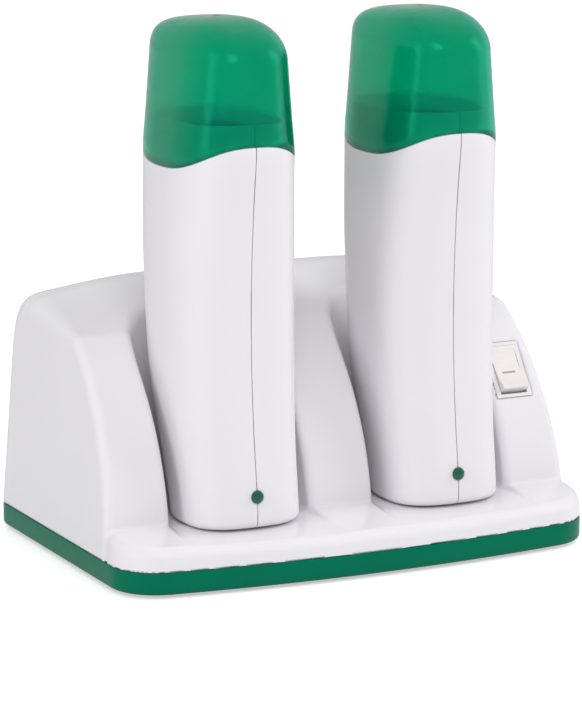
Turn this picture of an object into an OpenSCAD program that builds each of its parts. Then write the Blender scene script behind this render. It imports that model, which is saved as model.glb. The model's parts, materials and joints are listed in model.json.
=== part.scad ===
// Docking base with two upright roll on wax heaters.
// Millimetres. +Z is up, -Y is the front, the origin is the middle of the footprint on the floor.

/* [Base] */
// Width of the base, side to side
base_w = 209; // [200:1:220]
// Depth of the base, front edge to back edge
base_d = 152; // [146:1:160]
// How far the middle of the front edge bows out past its corners
front_bow = 9; // [4:1:12]
// Radius of the front corners seen from above
front_corner_r = 20; // [14:1:24]
// Radius of the back corners seen from above
back_corner_r = 15; // [10:1:20]
// Height of the green pan
pan_h = 9; // [8:0.5:12]
// How far the foot pads stand out under the pan
foot_h = 1.5; // [1:0.5:3]
// Thickness of the moulded walls of the base
base_wall = 2.4; // [2:0.2:3]

/* [Cover] */
// Height of the shelf at its front edge, above the pan
shelf_front_h = 8; // [6:1:10]
// Height of the shelf where it meets the housing, above the pan
shelf_back_h = 12.4; // [11:0.2:14]
// Distance from the front edge to the foot of the housing
shelf_d = 32; // [28:1:36]
// Radius of the curved front of the housing
face_r = 102.4; // [98:0.2:110]
// Height of the crease above the curved front, from the floor
crease_z = 92; // [88:1:95]
// Height of the top ridge, from the floor
ridge_z = 106; // [102:1:112]
// How far the ridge drops towards the sides
ridge_drop = 5; // [2:0.5:6]
// Lean of the side and back walls, in degrees
wall_draft = 4.3; // [3:0.1:6]
// Radius of the housing's rounded edges at the ridge and the back
edge_r = 8; // [6:0.5:10]
// Radius of the edges between the curved front and the sides
face_edge_r = 3.5; // [3.2:0.1:6]

/* [Docking bays] */
// Distance between the two heaters
dock_pitch = 90; // [86:1:94]
// Half the width of each bay
bay_r = 30.5; // [30:0.5:32]
// Height of the bay floor, from the floor
bay_floor_z = 21; // [20:0.5:22]
// Lean of the bay's back wall, in degrees
bay_lean = 23.5; // [20:0.5:26]
// Where the back wall of the bay starts on its floor
bay_back_y = -10; // [-12:1:-6]

/* [Heater] */
// Height of the heater from its underside to the rim that the cap covers
neck_top_h = 160; // [150:1:170]
// Half the width of the heater across its middle
heater_half_w = 27; // [25:0.5:28]
// Half the width of the heater at its foot
foot_half_w = 24.5; // [23:0.5:26]
// Where the upper front of the heater stands
heater_front_y = -59; // [-61:0.5:-57]
// How far the front of the heater curves in at its waist
waist_in = 5.2; // [3:0.2:7]
// Where the back of the heater stands at the wave edge
heater_back_y = 12; // [10:0.5:14]
// Thickness of the heater's shell
shell_wall = 2.2; // [2:0.1:2.4]
// Height of the shell edge at the middle of the wave, above the underside
wave_mid_h = 146.5; // [140:0.5:150]
// Height of the wave, crest to trough
wave_h = 10; // [0:1:12]

/* [Cap] */
// Height of the cap's top above the underside of the heater
cap_top_h = 199.5; // [190:0.5:210]
// Thickness of the cap
cap_wall = 1.8; // [1.4:0.1:2.2]
// Gap between the cap and the neck inside it
cap_gap = 0.4; // [0.3:0.1:0.6]

/* [Heating chamber] */
// Width of the wax cartridge pocket
pocket_w = 33; // [30:1:34]
// Depth of the wax cartridge pocket, front to back
pocket_d = 45; // [42:1:46]
// Depth of the pocket below the rim
pocket_h = 100; // [92:1:100]
// Thickness of the aluminium
chamber_wall = 1.5; // [1:0.1:2]

/* [Rocker switch] */
// Width of the rocker
rocker_w = 11.6; // [11:0.2:12]
// Length of the rocker
rocker_l = 21; // [20:0.5:22]
// Angle between its two positions, in degrees
rocker_swing = 16; // [10:1:20]
// How far the recess sinks the switch frame into the housing
recess_depth = 2; // [1.5:0.5:3]

/* [Hidden] */

cover_white = "#eceaec";
pan_green = "#00785a";
cap_green = "#00966d";
ivory = "#e9e4cf";
touch = 0.05;        // clearance between a screw or pin and the hole that holds it

half_w = base_w / 2;
front_y = -base_d / 2;
back_y = base_d / 2;
pan_z = foot_h;
pan_top = foot_h + pan_h;
shelf_front_z = pan_top + shelf_front_h;
shelf_back_z = pan_top + shelf_back_h;
hump_y = front_y + shelf_d;
dock_x = dock_pitch / 2;

// ---------- outlines and small helpers ----------

function arc(cx, cy, r, a0, a1, n) =
    [for (i = [0 : n]) let (a = a0 + (a1 - a0) * i / n) [cx + r * cos(a), cy + r * sin(a)]];

function flip(points) = [for (i = [len(points) - 1 : -1 : 0]) [-points[i][0], points[i][1]]];

// Outline of the base seen from above, drawn in by inset
function plan(inset) =
    let (bow_r = (half_w * half_w + front_bow * front_bow) / (2 * front_bow),
         bow_y = front_y + bow_r,
         fx = half_w - front_corner_r,
         fy = bow_y - sqrt(pow(bow_r - front_corner_r, 2) - fx * fx),
         turn = atan2(fy - bow_y, fx),
         right = concat(arc(0, bow_y, bow_r - inset, -90, turn, 6),
                        arc(fx, fy, front_corner_r - inset, turn + 8, 0, 7),
                        arc(half_w - back_corner_r, back_y - back_corner_r,
                            back_corner_r - inset, 0, 90, 7)))
    concat(right, [for (p = flip(right)) if (p[0] < -0.001) p]);

module rounded_box(w, d, h, r) {
    linear_extrude(h) {
        square([w - 2 * r, d], center = true);
        square([w, d - 2 * r], center = true);
        for (sx = [-1, 1], sy = [-1, 1])
            translate([sx * (w / 2 - r), sy * (d / 2 - r)]) circle(r = r, $fn = 48);
    }
}

// A wire bent through its points, with eight sides
module wire(points, r) {
    sides = 8;
    n = len(points);
    ways = [for (i = [0 : n - 1]) points[min(i + 1, n - 1)] - points[max(i - 1, 0)]];
    rings = [for (i = [0 : n - 1])
        let (way = ways[i] / norm(ways[i]),
             across = cross(way, abs(way[2]) > 0.9 ? [0, 1, 0] : [0, 0, 1]),
             u = across / norm(across), v = cross(way, u))
        for (k = [0 : sides - 1]) points[i] + r * (cos(k * 360 / sides) * u + sin(k * 360 / sides) * v)];
    polyhedron(points = rings, faces = concat(
        [[for (k = [0 : sides - 1]) k], [for (k = [sides - 1 : -1 : 0]) (n - 1) * sides + k]],
        [for (i = [0 : n - 2], k = [0 : sides - 1]) let (a = i * sides, next = (k + 1) % sides)
            [a + k, a + sides + k, a + sides + next, a + next]]));
}

// ---------- pan, feet and base screws ----------

foot_r = 7;
foot_sink = 0.6;
foot_x = half_w - 20;
foot_front_y = front_y + 26;
foot_back_y = back_y - 18;
screw_inset = 16;    // from each foot to the screw beside it
pan_edge = 1.2;      // how far the pan's lower edge is drawn in

screw_r = 1.5;
screw_head_r = 2.8;
screw_head_h = 1.6;
boss_r = 4;
boss_floor = 1.6;

module at_feet() {
    for (sx = [-1, 1], y = [foot_front_y, foot_back_y]) translate([sx * foot_x, y, 0]) children();
}

module at_base_screws() {
    for (sx = [-1, 1], y = [foot_front_y, foot_back_y])
        translate([sx * (foot_x - screw_inset), y, 0]) children();
}

module foot_pads() {
    color("#3a3d3c") at_feet() {
        cylinder(r = foot_r, h = pan_z + foot_sink, $fn = 64);
    }
}

module base_pan() {
    screw_floor = pan_z + screw_head_h + boss_floor;
    color(pan_green) difference() {
        union() {
            difference() {
                hull() {
                    translate([0, 0, pan_z]) linear_extrude(0.4) polygon(plan(pan_edge));
                    translate([0, 0, pan_z + pan_edge]) linear_extrude(pan_h - pan_edge) polygon(plan(0));
                }
                translate([0, 0, pan_z + base_wall]) linear_extrude(pan_h) polygon(plan(base_wall));
            }
            at_base_screws() translate([0, 0, pan_z]) cylinder(r = boss_r, h = screw_head_h + boss_floor, $fn = 48);
        }
        at_feet() translate([0, 0, pan_z - 1]) cylinder(r = foot_r + touch, h = 1 + foot_sink, $fn = 64);
        at_base_screws() {
            translate([0, 0, pan_z - 1]) cylinder(r = screw_head_r + 0.3, h = 1 + screw_head_h, $fn = 48);
            cylinder(r = screw_r + 0.2, h = screw_floor + 1, $fn = 48);
        }
    }
}

base_screw_l = 10;
screw_floor_z = pan_z + screw_head_h + boss_floor;

module base_screws() {
    color("silver") at_base_screws() {
        head_z = screw_floor_z - boss_floor - screw_head_h;
        difference() {
            union() {
                translate([0, 0, head_z]) cylinder(r = screw_head_r, h = screw_head_h, $fn = 48);
                translate([0, 0, head_z]) cylinder(r = screw_r, h = screw_head_h + base_screw_l, $fn = 48);
            }
            for (a = [0, 90]) translate([0, 0, head_z]) rotate(a) cube([3, 0.7, 1.4], center = true);
        }
    }
}

// ---------- cover ----------

shelf_slope = atan((shelf_back_h - shelf_front_h) / shelf_d);
shelf_edge_r = 4;
face_drop = 84.2;                // middle of the curved front, below the crease
rear_z = 88;                     // where the back wall starts to round over
ridge_back = 24.33;              // from the back edge of the base to the ridge
ridge_flat = 6;                  // depth of the ridge's flat top
face_cz = crease_z - face_drop;
face_cy = hump_y + sqrt(pow(face_r, 2) - pow(shelf_back_z - face_cz, 2));

function side_x(z) = half_w - (z - pan_top) * tan(wall_draft);
function face_y(z) = face_cy - sqrt(face_r * face_r - pow(z - face_cz, 2));

// The part of the base's outline in front of y, and the part behind it
function front_part(inset, y) = let (side = half_w - inset, points = plan(inset))
    concat([for (p = points) if (p[1] < y && p[0] >= 0) p], [[side, y], [-side, y]],
           [for (p = points) if (p[1] < y && p[0] < 0) p]);
function back_part(inset, y) = let (side = half_w - inset)
    concat([for (p = plan(inset)) if (p[1] > y) p], [[-side, y], [side, y]]);

ridge_y = back_y - ridge_back;
ridge_side_x = side_x(ridge_z - ridge_drop) - edge_r - 3;

// The low front of the cover, with its sloping shelf
module plinth_form(inset) {
    cut_y = hump_y + 12;
    hull() {
        translate([0, 0, pan_top - inset]) linear_extrude(0.5) polygon(front_part(inset, cut_y));
        for (a = [0, 30, 60, 90]) {
            rise = shelf_front_z - inset - shelf_edge_r * (1 - sin(a));
            translate([0, front_y, rise]) rotate([shelf_slope, 0, 0]) translate([0, -front_y, -0.1])
                linear_extrude(0.1) polygon(front_part(inset + shelf_edge_r * (1 - cos(a))
                    + (rise - pan_top) * tan(wall_draft), cut_y));
        }
    }
}

// The high housing: curved front, sloping deck, ridge and leaning sides
module hump_form(inset) {
    ball_r = edge_r - inset;
    low = pan_top - inset;
    arc_low = asin((pan_top + face_edge_r + 0.2 - face_cz) / (face_r - face_edge_r));
    arc_high = asin((crease_z - face_cz) / face_r);
    rear_y = back_y - (rear_z - pan_top) * tan(wall_draft) - edge_r;
    hull() {
        translate([0, 0, low]) linear_extrude(0.5) polygon(back_part(inset, hump_y + edge_r));
        for (sx = [-1, 1]) {
            for (i = [0 : 6]) {
                a = arc_low + (arc_high - arc_low) * i / 6;
                y = face_cy - (face_r - face_edge_r) * cos(a);
                z = face_cz + (face_r - face_edge_r) * sin(a);
                translate([sx * (side_x(z) - face_edge_r), y, z]) sphere(r = face_edge_r - inset, $fn = 20);
            }
            translate([sx * dock_x, ridge_y, ridge_z - edge_r]) sphere(r = ball_r, $fn = 20);
            translate([sx * dock_x, ridge_y + ridge_flat, ridge_z - edge_r - ridge_flat / 10]) sphere(r = ball_r, $fn = 20);
            for (back = [0, ridge_flat])
                translate([sx * ridge_side_x, ridge_y + back, ridge_z - ridge_drop - edge_r - back / 10])
                    sphere(r = ball_r, $fn = 20);
            translate([sx * (side_x(rear_z) - edge_r), rear_y, rear_z]) sphere(r = ball_r, $fn = 20);
            translate([sx * dock_x, rear_y, rear_z + 3]) sphere(r = ball_r, $fn = 20);
        }
    }
}

// The slanted U-shaped space of one bay, grown by skin
module bay_form(skin) {
    reach = 220;
    start_y = bay_back_y - (bay_r / cos(bay_lean));
    intersection() {
        translate([0, start_y, bay_floor_z]) rotate([-bay_lean, 0, 0])
            translate([0, 0, -reach / 2]) linear_extrude(reach) {
                circle(r = bay_r + skin, $fn = 96);
                translate([-bay_r - skin, -reach]) square([2 * (bay_r + skin), reach]);
            }
        translate([-reach / 2, -reach / 2, bay_floor_z - skin]) cube([reach, reach, reach]);
    }
}

// Switch place: X across, Y up the slope, Z out of the housing
recess_w = rocker_w + 5;
recess_l = rocker_l + 4.2;
switch_x = dock_x + bay_r + base_wall + recess_w / 2;
switch_z = 67.5;
switch_y = face_y(switch_z);
switch_lean = acos((switch_z - face_cz) / face_r);
frame_gap = 0.15;
frame_w = rocker_w + 3.2;
frame_l = rocker_l + 2.4;
frame_h = 12;
flange_h = 1.2;
terminal_l = 7;

module at_switch() {
    translate([switch_x, switch_y, switch_z]) rotate([switch_lean, 0, 0]) children();
}

// Mains inlet place in the back wall: X across, Z out of the back
inlet_x = 62;
inlet_z = 37;
inlet_y = back_y - (inlet_z - pan_top) * tan(wall_draft);
inlet_w = 17;
inlet_h = 10.4;
inlet_l = 17;
inlet_flange = 1.2;
inlet_stand = 0.25;     // clearance under the inlet's flange

module at_inlet() {
    translate([inlet_x, inlet_y, inlet_z]) rotate([-90 + wall_draft, 0, 0]) children();
}

vent_w = 1.8;
vent_h = 14;
vent_pitch = 5;
vent_count = 9;
vent_shift = 20;
vent_z = 48;
post_top_z = shelf_front_z + (foot_front_y - front_y) * tan(shelf_slope) - 1.2;
rib_t = 2;
rib_lean = (post_top_z - pan_top) * tan(wall_draft);
dock_hole_r = 9.3;
dock_y = -38;

module base_cover() {
    color(cover_white) difference() {
        union() {
            difference() {
                union() {
                    plinth_form(0);
                    hump_form(0);
                }
                difference() {
                    union() {
                        plinth_form(base_wall);
                        hump_form(base_wall);
                    }
                    for (sx = [-1, 1]) translate([sx * dock_x, 0, 0]) bay_form(base_wall);
                    at_switch() translate([-recess_w / 2 - base_wall, -recess_l / 2 - base_wall,
                        -recess_depth - base_wall]) cube([recess_w + 2 * base_wall, recess_l + 2 * base_wall, 12]);
                }
            }
            at_base_screws() translate([0, 0, screw_floor_z]) cylinder(r = boss_r, h = post_top_z - screw_floor_z, $fn = 48);
            for (sx = [-1, 1]) translate([sx * (foot_x - screw_inset) - rib_t / 2, foot_back_y, pan_top])
                cube([rib_t, back_y - foot_back_y - base_wall / 2 - rib_lean, post_top_z - pan_top]);
        }
        for (sx = [-1, 1]) {
            translate([sx * dock_x, 0, 0]) bay_form(0);
            translate([sx * dock_x, dock_y, 0]) cylinder(r = dock_hole_r, h = bay_floor_z + 1, $fn = 64);
        }
        at_switch() {
            translate([-recess_w / 2, -recess_l / 2, -recess_depth]) cube([recess_w, recess_l, 12]);
            translate([-frame_w / 2 - frame_gap, -frame_l / 2 - frame_gap, -recess_depth - 6])
                cube([frame_w + 2 * frame_gap, frame_l + 2 * frame_gap, 12]);
        }
        at_inlet() translate([0, 0, -8]) rounded_box(inlet_w + 2 * frame_gap, inlet_h + 2 * frame_gap, 12, 3);
        for (i = [0 : vent_count - 1])
            translate([(i - (vent_count - 1) / 2) * vent_pitch - vent_shift, back_y - 12, vent_z])
                cube([vent_w, 24, vent_h]);
        at_base_screws() translate([0, 0, screw_floor_z - 1]) cylinder(r = screw_r + touch, h = base_screw_l, $fn = 48);
    }
}

// ---------- rocker switch ----------

pivot_depth = 4;     // pivot below the surface of the housing
pivot_r = 1.2;
pivot_l = 1.1;

module switch_frame() {
    top = -recess_depth + flange_h;
    color(ivory) at_switch() difference() {
        union() {
            translate([-recess_w / 2 + frame_gap, -recess_l / 2 + frame_gap, -recess_depth])
                cube([recess_w - 2 * frame_gap, recess_l - 2 * frame_gap, flange_h]);
            translate([-frame_w / 2, -frame_l / 2, top - frame_h]) cube([frame_w, frame_l, frame_h]);
        }
        translate([-rocker_w / 2 - 0.35, -rocker_l / 2 - 0.5, top - frame_h + 1.4])
            cube([rocker_w + 0.7, rocker_l + 1, frame_h]);
        translate([-frame_w / 2 - 1, 0, -pivot_depth]) rotate([0, 90, 0])
            cylinder(r = pivot_r + touch, h = frame_w + 2, $fn = 48);
    }
}

module switch_terminals() {
    base = -recess_depth + flange_h - frame_h;
    color("goldenrod") at_switch() for (y = [-7, 0, 7])
        translate([-2.4, y - 0.4, base - terminal_l]) cube([4.8, 0.8, terminal_l]);
}

// Side outline of the rocker in its middle position
module rocker_outline() {
    h = rocker_l / 2;
    polygon(concat([[-h + 0.8, -5], [-h, 1.4], [-h + 0.3, 2.1], [-h + 1, 2.3]],
                   arc(0, 26.6, 26.6 - 0.7, -90 - 20.4, -90 + 20.4, 8),
                   [[h - 1, 2.3], [h - 0.3, 2.1], [h, 1.4], [h - 0.8, -5]]));
}

module rocker() {
    color(ivory) at_switch() translate([0, 0, -pivot_depth]) rotate([-rocker_swing / 2, 0, 0]) {
        translate([-rocker_w / 2, 0, 0]) rotate([90, 0, 90])
            translate([0, pivot_depth - recess_depth + 0.8]) linear_extrude(rocker_w) rocker_outline();
        rotate([0, 90, 0]) translate([0, 0, -rocker_w / 2 - pivot_l])
            cylinder(r = pivot_r, h = rocker_w + 2 * pivot_l, $fn = 48);
    }
}

// ---------- mains inlet ----------

inlet_pin_r = 1.2;
inlet_pin_gap = 8.6;
inlet_recess = 11;

module inlet_housing() {
    color("#2b2b2d") at_inlet() difference() {
        union() {
            translate([0, 0, -inlet_l + inlet_flange]) rounded_box(inlet_w, inlet_h, inlet_l - inlet_flange + inlet_stand, 3);
            translate([0, 0, inlet_stand]) rounded_box(inlet_w + 4, inlet_h + 4, inlet_flange, 4);
        }
        translate([0, 0, inlet_flange - inlet_recess]) linear_extrude(inlet_recess + 1) {
            for (sx = [-1, 1]) translate([sx * inlet_pin_gap / 2, 0]) circle(r = 3.6, $fn = 48);
            square([inlet_pin_gap, 5], center = true);
        }
        for (sx = [-1, 1]) translate([sx * inlet_pin_gap / 2, 0, -inlet_l])
            cylinder(r = inlet_pin_r + touch, h = inlet_l, $fn = 48);
    }
}

module inlet_pins() {
    color("silver") at_inlet() for (sx = [-1, 1]) translate([sx * inlet_pin_gap / 2, 0, -inlet_l - 4])
        cylinder(r = inlet_pin_r, h = inlet_l + 3, $fn = 48);
}

// ---------- docking connectors ----------

plug_r = 9;
plug_rise = 6;
contact_gap = 8;
contact_r = 1.9;
contact_bore_r = 1.5;
contact_l = 16;

module dock_connector(sx) {
    seat_z = bay_floor_z - base_wall;
    color("#2b2b2d") translate([sx * dock_x, dock_y, 0]) difference() {
        union() {
            translate([0, 0, seat_z - 6]) cylinder(r = plug_r, h = plug_rise + base_wall + 6, $fn = 64);
            translate([0, 0, seat_z - 3]) cylinder(r = plug_r + 3, h = 3, $fn = 64);
        }
        for (side = [-1, 1]) translate([side * contact_gap / 2, 0, 0])
            cylinder(r = contact_r + touch, h = bay_floor_z + plug_rise + 1, $fn = 32);
    }
}

module dock_contacts(sx) {
    color("goldenrod") for (side = [-1, 1])
        translate([sx * dock_x + side * contact_gap / 2, dock_y, bay_floor_z + plug_rise - 0.4 - contact_l])
            difference() {
                cylinder(r = contact_r, h = contact_l, $fn = 32);
                translate([0, 0, 3]) cylinder(r = contact_bore_r, h = contact_l, $fn = 32);
            }
}

wire_r = 0.9;

module base_wiring() {
    low = pan_z + base_wall + 2;
    tail_y = inlet_y - inlet_l - 5;
    contact_z = bay_floor_z + plug_rise - 0.4 - contact_l;
    terminal_depth = recess_depth - flange_h + frame_h + terminal_l + 1.2;
    back = switch_y + terminal_depth * sin(switch_lean);
    down = switch_z - terminal_depth * cos(switch_lean);
    color("#8c2f2b") {
        wire([[inlet_x + inlet_pin_gap / 2, tail_y, inlet_z - 2.5], [inlet_x + 10, tail_y - 8, inlet_z - 2],
              [switch_x, back + 12, down - 8], [switch_x, back + 5, down - 1]], wire_r);
        wire([[inlet_x - inlet_pin_gap / 2, tail_y, inlet_z - 2.5], [inlet_x - 8, tail_y - 4, inlet_z - 8],
              [inlet_x - 12, tail_y - 10, low + 4], [dock_x - contact_gap / 2, dock_y + 16, low],
              [dock_x - contact_gap / 2, dock_y + 1, low], [dock_x - contact_gap / 2, dock_y, contact_z - 0.3]], wire_r);
        wire([[switch_x + 3, back - 3, down - 8], [switch_x - 4, back + 4, down - 18],
              [dock_x + 22, dock_y + 26, low + 2], [dock_x + contact_gap / 2, dock_y + 12, low],
              [dock_x + contact_gap / 2, dock_y + 1, low], [dock_x + contact_gap / 2, dock_y, contact_z - 0.3]], wire_r);
        for (side = [-1, 1])
            wire([[dock_x + side * contact_gap / 2 - 2.5, dock_y - 3, low], [20, dock_y - 8 + 3 * side, low],
                  [-20, dock_y - 8 + 3 * side, low], [-dock_x + side * contact_gap / 2, dock_y - 1, low],
                  [-dock_x + side * contact_gap / 2, dock_y, contact_z - 0.3]], wire_r);
    }
}

// ---------- heater ----------

heater_z = bay_floor_z + 0.2;       // underside of a docked heater
curve_low_h = 15;                   // where the front starts to curve in, above the underside
section_n = 2.8;                    // squareness of the heater's cross-section
foot_edge_r = 3;
knee_h = 54;                        // height of the bend in the back
knee_y = heater_back_y - 9;
heel_y = -17;                       // where the back of the foot stands
neck_in = cap_wall + cap_gap;       // step from the shell's skin in to the neck
neck_wall = 1.8;
ring_top_h = 138;                   // highest ring of the shell under the wave
taper_h = 150;                      // the neck and cap narrow sideways above this height
taper = 0.095;
dome_rise = 16.2;
dome_h = cap_top_h - dome_rise;     // the cap's dome starts here
straight_h = wave_mid_h + wave_h + 1.5;     // the wave has run out at this height of the cap
widen_low_h = 8;                    // the heater widens from here
widen_span = 72;
narrow_low_h = 100;                 // and narrows again from here
narrow_span = 64;
inlet_block_r = 13;
half_steps = 20;
cap_steps = 2 * half_steps;

function clamp01(v) = min(1, max(0, v));
function ease(v) = let (t = clamp01(v)) t * t * (3 - 2 * t);
function mix(a, b, t) = a + (b - a) * t;
function power(v, e) = sign(v) * pow(abs(v), e);

// Half width of the heater at a height above its underside
function half_width(h) =
    h < narrow_low_h ? mix(foot_half_w, heater_half_w, ease((h - widen_low_h) / widen_span))
                     : mix(heater_half_w, foot_half_w + 0.6, ease((h - narrow_low_h) / narrow_span));

// Front line: curves in at the waist
function line_front(h) =
    let (span = (wave_mid_h - curve_low_h) / 2,
         off = (h - curve_low_h - span) / span)
    heater_front_y + waist_in * max(0, 1 - off * off) - 0.6 * clamp01((curve_low_h - h) / 8);

// Back line: leans out from the heel to the knee, then rises more steeply
function line_back(h) =
    let (low = heel_y + (knee_y - heel_y) * h / knee_h,
         high = knee_y + (heater_back_y - knee_y) * (min(h, wave_mid_h) - knee_h) / (wave_mid_h - knee_h),
         soft = 1.5)
    -soft * ln(exp(-low / soft) + exp(-high / soft));

function narrowing(h) = taper * max(0, h - taper_h);

// A point of the cross-section at height h and angle a, drawn in by inset
function skin(h, a, inset) =
    let (w = half_width(h) - narrowing(h) - inset,
         d = (line_back(h) - line_front(h)) / 2 - inset,
         cy = (line_back(h) + line_front(h)) / 2)
    [w * power(cos(a), 2 / section_n), cy + d * power(sin(a), 2 / section_n), heater_z + h];

// Half the heater's width at height h, where it stands at y
function width_at(h, y) =
    let (d = (line_back(h) - line_front(h)) / 2, cy = (line_back(h) + line_front(h)) / 2)
    half_width(h) * pow(1 - pow(abs(y - cy) / d, section_n), 1 / section_n);

// Height of the wavy edge at angle a: low at the sides, high at the front and back
function wave(a) = wave_mid_h - wave_h / 2 * cos(2 * a);

body_steps = [foot_edge_r, 10, 20, 30, 39, 47, knee_h, 62, 74, 90, 108, 125, ring_top_h];
floor_h = 3;                        // top of the shell's floor, above the underside
thicken_h = 120;                    // the wall starts to thicken here to carry the neck

// One closed loop through the shell's wall at angle a
function shell_loop(a) =
    let (edge = wave(a), deep = neck_in + neck_wall)
    concat(
        [skin(0, a, foot_edge_r), skin(foot_edge_r * 0.3, a, foot_edge_r * 0.3)],
        [for (h = body_steps) skin(h, a, 0)],
        [skin(edge, a, 0), skin(edge, a, neck_in), skin(neck_top_h - 0.6, a, neck_in),
         skin(neck_top_h, a, neck_in + 0.5), skin(neck_top_h, a, deep), skin(ring_top_h, a, deep),
         skin(thicken_h + 8, a, deep), skin(thicken_h, a, shell_wall)],
        [for (i = [len(body_steps) - 3 : -1 : 1]) skin(body_steps[i], a, shell_wall)],
        [skin(floor_h, a, shell_wall + 1),
         [inlet_block_r * cos(a), dock_y + inlet_block_r * sin(a), heater_z + floor_h],
         [inlet_block_r * cos(a), dock_y + inlet_block_r * sin(a), heater_z]]);

// Triangles of one seam face: rungs lead from the outer points of the wall across to its inner ones
function seam_faces(first, n, front) =
    let (rungs = concat([[0, n - 1], [0, n - 2], [0, n - 3], [1, n - 3]],
                        [for (k = [2 : 15]) [k, n - 1 - k]],
                        [[16, n - 16], [17, n - 16], [18, n - 16], [18, 19]]))
    [for (r = [0 : len(rungs) - 2]) let (a = rungs[r], b = rungs[r + 1])
        for (t = [[a[0], b[0], a[1]], [b[0], b[1], a[1]]])
            if (t[0] != t[1] && t[1] != t[2])
                [for (k = front ? [2, 1, 0] : [0, 1, 2]) first + t[k]]];

// Half of the shell, x > 0, swept over half a turn
module half_shell() {
    loops = [for (i = [0 : half_steps]) shell_loop(-90 + 180 * i / half_steps)];
    n = len(loops[0]);
    points = [for (loop = loops) for (p = loop) p];
    polyhedron(points = points, convexity = 8, faces = concat(
        seam_faces(0, n, true),
        seam_faces(half_steps * n, n, false),
        [for (i = [0 : half_steps - 1], k = [0 : n - 1]) [i * n + k, (i + 1) * n + (k + 1) % n, (i + 1) * n + k]],
        [for (i = [0 : half_steps - 1], k = [0 : n - 1]) [i * n + k, i * n + (k + 1) % n, (i + 1) * n + (k + 1) % n]]));
}

// Screws through the right half into the left half: [y, height above the underside]
posts = [[-44, 24], [-14, 42]];
post_r = 3.8;
shell_screw_r = 1.2;
shell_head_r = 2.4;
shell_head_h = 1.5;
head_x = 9;                         // where a screw's head stands, from the seam
shell_screw_l = 16;
led_h = 12.8;
led_r = 2.65;
led_front_y = line_front(led_h);
led_gap = 0.1;
led_back_y = led_front_y + 6.2;

module at_posts() {
    for (post = posts) translate([0, post[0], heater_z + post[1]]) rotate([0, 90, 0])
        let ($reach = min([for (y = [-post_r, 0, post_r]) width_at(post[1], post[0] + y)])) children();
}

module led_hole() {
    translate([0, led_front_y - 4, heater_z + led_h]) rotate([-90, 0, 0])
        cylinder(r = led_r + led_gap, h = 9, $fn = 48);
}

module heater_right_shell() {
    color(cover_white) difference() {
        union() {
            half_shell();
            at_posts() translate([0, 0, touch]) cylinder(r = post_r, h = $reach - 1 - touch, $fn = 48);
        }
        at_posts() {
            translate([0, 0, -1]) cylinder(r = shell_screw_r + 0.15, h = head_x + 2, $fn = 48);
            translate([0, 0, head_x]) cylinder(r = shell_head_r + 0.2, h = 30, $fn = 48);
        }
        led_hole();
    }
}

module heater_left_shell() {
    color(cover_white) difference() {
        union() {
            mirror([1, 0, 0]) half_shell();
            at_posts() translate([0, 0, -$reach + 1]) cylinder(r = post_r, h = $reach - 1 - touch, $fn = 48);
        }
        at_posts() translate([0, 0, -shell_screw_l + head_x - 1])
            cylinder(r = shell_screw_r + touch, h = shell_screw_l - head_x + 2, $fn = 48);
        led_hole();
    }
}

module shell_screws() {
    color("silver") at_posts() difference() {
        union() {
            translate([0, 0, head_x - shell_screw_l]) cylinder(r = shell_screw_r, h = shell_screw_l + 0.5, $fn = 48);
            translate([0, 0, head_x]) cylinder(r = shell_head_r, h = shell_head_h, $fn = 48);
        }
        for (a = [0, 90]) translate([0, 0, head_x + shell_head_h]) rotate(a) cube([2.8, 0.6, 1.4], center = true);
    }
}

// ---------- heating chamber ----------

pocket_z = heater_z + neck_top_h - pocket_h;
pocket_y = -25;
pocket_r = 8;
chamber_w = pocket_w + 2 * chamber_wall;
chamber_d = pocket_d + 2 * chamber_wall;
flange_drop = 6;                    // the chamber's flange lies this far below the rim
flange_t = 1.5;
flange_top_h = neck_top_h - flange_drop;
flange_play = 0.8;
insulation_t = 1;
insulation_gap = 0.1;
insulation_h = 66;
window_d = 32;                      // slot in the insulation for the element
element_d = 30;
element_h = 24;
element_t = 2.6;
clamp_t = 1.2;
element_z = pocket_z + 8;

module chamber() {
    color("#b9bcbe") difference() {
        union() {
            translate([0, pocket_y, pocket_z - chamber_wall])
                rounded_box(chamber_w, chamber_d, pocket_h - flange_drop + chamber_wall - flange_t / 2,
                            pocket_r + chamber_wall);
            translate([0, 0, heater_z + flange_top_h - flange_t]) linear_extrude(flange_t)
                polygon([for (i = [0 : cap_steps - 1])
                    let (p = skin(flange_top_h, i * 360 / cap_steps, neck_in + neck_wall + flange_play)) [p[0], p[1]]]);
        }
        translate([0, pocket_y, pocket_z]) rounded_box(pocket_w, pocket_d, pocket_h + 5, pocket_r);
    }
}

module insulation() {
    low = pocket_z + 1;
    color("#d8d2c4") difference() {
        translate([0, pocket_y, low]) rounded_box(chamber_w + 2 * (insulation_t + insulation_gap),
            chamber_d + 2 * (insulation_t + insulation_gap), insulation_h,
            pocket_r + chamber_wall + insulation_t + insulation_gap);
        translate([0, pocket_y, low - 1]) rounded_box(chamber_w + 2 * insulation_gap, chamber_d + 2 * insulation_gap,
            insulation_h + 2, pocket_r + chamber_wall + insulation_gap);
        translate([-heater_half_w, pocket_y - window_d / 2, low - 1])
            cube([2 * heater_half_w, window_d, element_z + element_h + 2 - low]);
    }
}

module heating_element() {
    color("#e6e1d6") translate([-chamber_w / 2 - element_t, pocket_y - element_d / 2, element_z])
        cube([element_t, element_d, element_h]);
}

module clamp_plate() {
    color("silver") translate([-chamber_w / 2 - element_t - clamp_t, pocket_y - element_d / 2 + 2, element_z + 2])
        cube([clamp_t, element_d - 4, element_h - 4]);
}

cutout_r = 6;
cutout_t = 3.4;

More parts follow.
